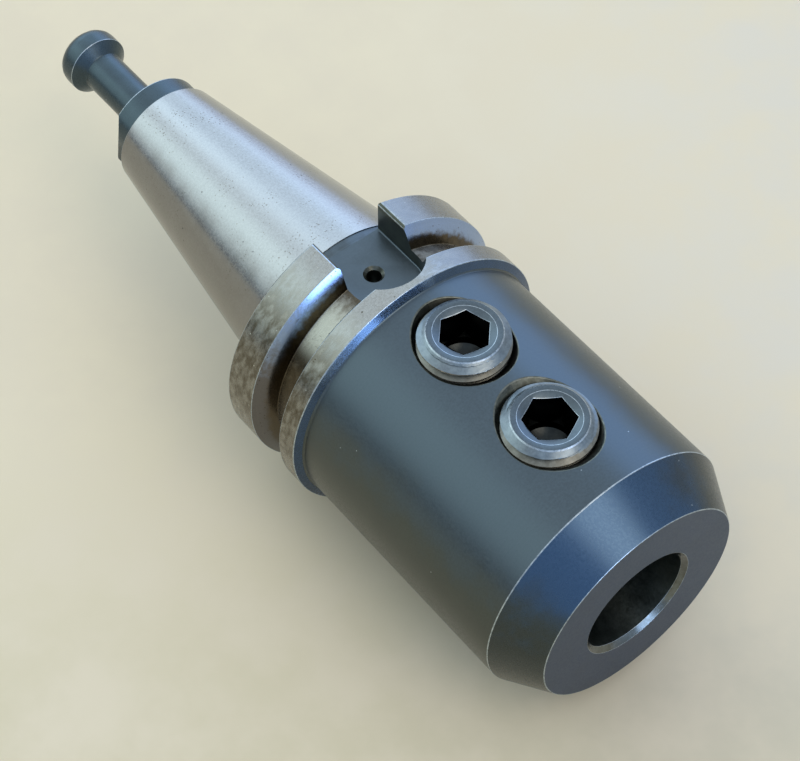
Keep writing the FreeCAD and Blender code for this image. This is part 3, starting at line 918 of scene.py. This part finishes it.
def floor():
    """Pale floor that touches the flange's front rim and the start of the nose bevel."""
    form = bmesh.new()
    corners = []
    for x, y in ((-1, -1), (1, -1), (1, 1), (-1, 1)):
        along = FLANGE_FRONT + x * FLOOR_HALF
        height = -FLANGE_R + FLOOR_TILT * (along - FLANGE_FRONT)
        corners.append(form.verts.new((along, y * FLOOR_HALF, height)))
    form.faces.new(corners)
    mesh = bpy.data.meshes.new("floor")
    form.to_mesh(mesh)
    form.free()
    mesh.transform(Matrix.Scale(MM, 4))
    # Painted board: matt, warm and pale, faintly uneven
    material, tree, place = new_finish("painted_board")
    colour = linear("#D9CBAF")
    # painted light and shade: greyer and cooler towards +Y as painted window light, darker towards the
    # camera's side as painted shade
    for way, far, tint in (((0.63, 0.78, 0), 300.0, "#C8C1B8"), ((0.78, -0.63, 0), 260.0, "#BEB293")):
        along = add(tree, "ShaderNodeVectorMath", {0: place, 1: way}, operation="DOT_PRODUCT")
        share = add(tree, "ShaderNodeMapRange", {"Value": along.outputs["Value"], "From Max": far})
        colour = blend(tree, share.outputs[0], colour, linear(tint))
    colour = blend(tree, blotches(tree, place, 40.0, 0.3, 0.7), colour, linear("#D5C7AD"))
    shader = add(tree, "ShaderNodeBsdfPrincipled", {"Base Color": colour, "Roughness": 0.7})
    add(tree, "ShaderNodeOutputMaterial", {"Surface": shader.outputs[0]})
    mesh.materials.append(material)
    linked("floor", mesh)


def direction(azimuth, elevation):
    """Unit vector for an azimuth from +X towards +Y and an elevation over the horizon, in degrees."""
    a, e = math.radians(azimuth), math.radians(elevation)
    return Vector((math.cos(e) * math.cos(a), math.cos(e) * math.sin(a), math.sin(e)))


def surroundings():
    """A pale room: near even light, bluer on the window side, with soft brighter and darker zones."""
    world = bpy.data.worlds.new("pale_room")
    bpy.context.scene.world = world
    world.use_nodes = True
    tree = world.node_tree
    tree.nodes.clear()
    way = add(tree, "ShaderNodeTexCoord").outputs["Generated"]
    total = (0.60, 0.65, 0.71)      # the even light
    # A zone's direction, the angles where it is full and where it ends, and what it adds
    zones = [
        (direction(180, 80), 15, 56, (0.24, 0.26, 0.26)),
        (direction(114, 26), 8, 29, (0.68, 1.02, 1.65)),
        (direction(155, 28), 8, 32, (0.72, 0.98, 1.22)),
        (direction(-170, 28), 8, 32, (0.66, 0.84, 0.90)),
        (direction(-132, 28), 8, 32, (0.68, 0.86, 0.80)),
        (direction(136, 2), 6, 22, (0.35, 0.45, 0.65)),
        (direction(5, 54), 6, 24, (2.50, 2.10, 1.60)),
        (direction(2, 11), 5, 17, (3.30, 4.80, 7.60)),
        (direction(-122, -10), 14, 30, (-0.40, -0.42, -0.42)),
        (direction(-10, 25), 20, 75, (-0.06, 0.05, 0.20)),
    ]
    for toward, inner, outer, change in zones:
        facing = add(tree, "ShaderNodeVectorMath", {0: way, 1: toward}, operation="DOT_PRODUCT")
        share = add(tree, "ShaderNodeMapRange", {"Value": facing.outputs["Value"],
                                                 "From Min": math.cos(math.radians(outer)),
                                                 "From Max": math.cos(math.radians(inner))},
                    interpolation_type="SMOOTHSTEP")
        part = add(tree, "ShaderNodeVectorMath", {0: change, "Scale": share.outputs[0]}, operation="SCALE")
        total = add(tree, "ShaderNodeVectorMath", {0: total, 1: part.outputs[0]}, operation="ADD").outputs[0]
    light = add(tree, "ShaderNodeBackground", {"Color": total, "Strength": 1.0})
    add(tree, "ShaderNodeOutputWorld", {"Surface": light.outputs[0]})


def camera():
    """The photograph's view, found by fitting a camera to the circles of the holder."""
    lens = bpy.data.cameras.new("photo_camera")
    lens.sensor_fit = "HORIZONTAL"
    lens.sensor_width = 36.0
    lens.lens = LENS
    lens.clip_start = 0.01
    lens.clip_end = 50.0
    eye = linked("photo_camera", lens)
    right = Vector(EYE_RIGHT).normalized()
    ahead = Vector(EYE_AHEAD).normalized()
    up = right.cross(ahead).normalized()
    turn = Matrix((right, up, -ahead)).transposed().to_4x4()
    eye.matrix_world = Matrix.Translation(Vector(EYE) * MM) @ turn
    bpy.context.scene.camera = eye


floor()
surroundings()
camera()
bpy.context.scene.view_settings.view_transform = "Standard"
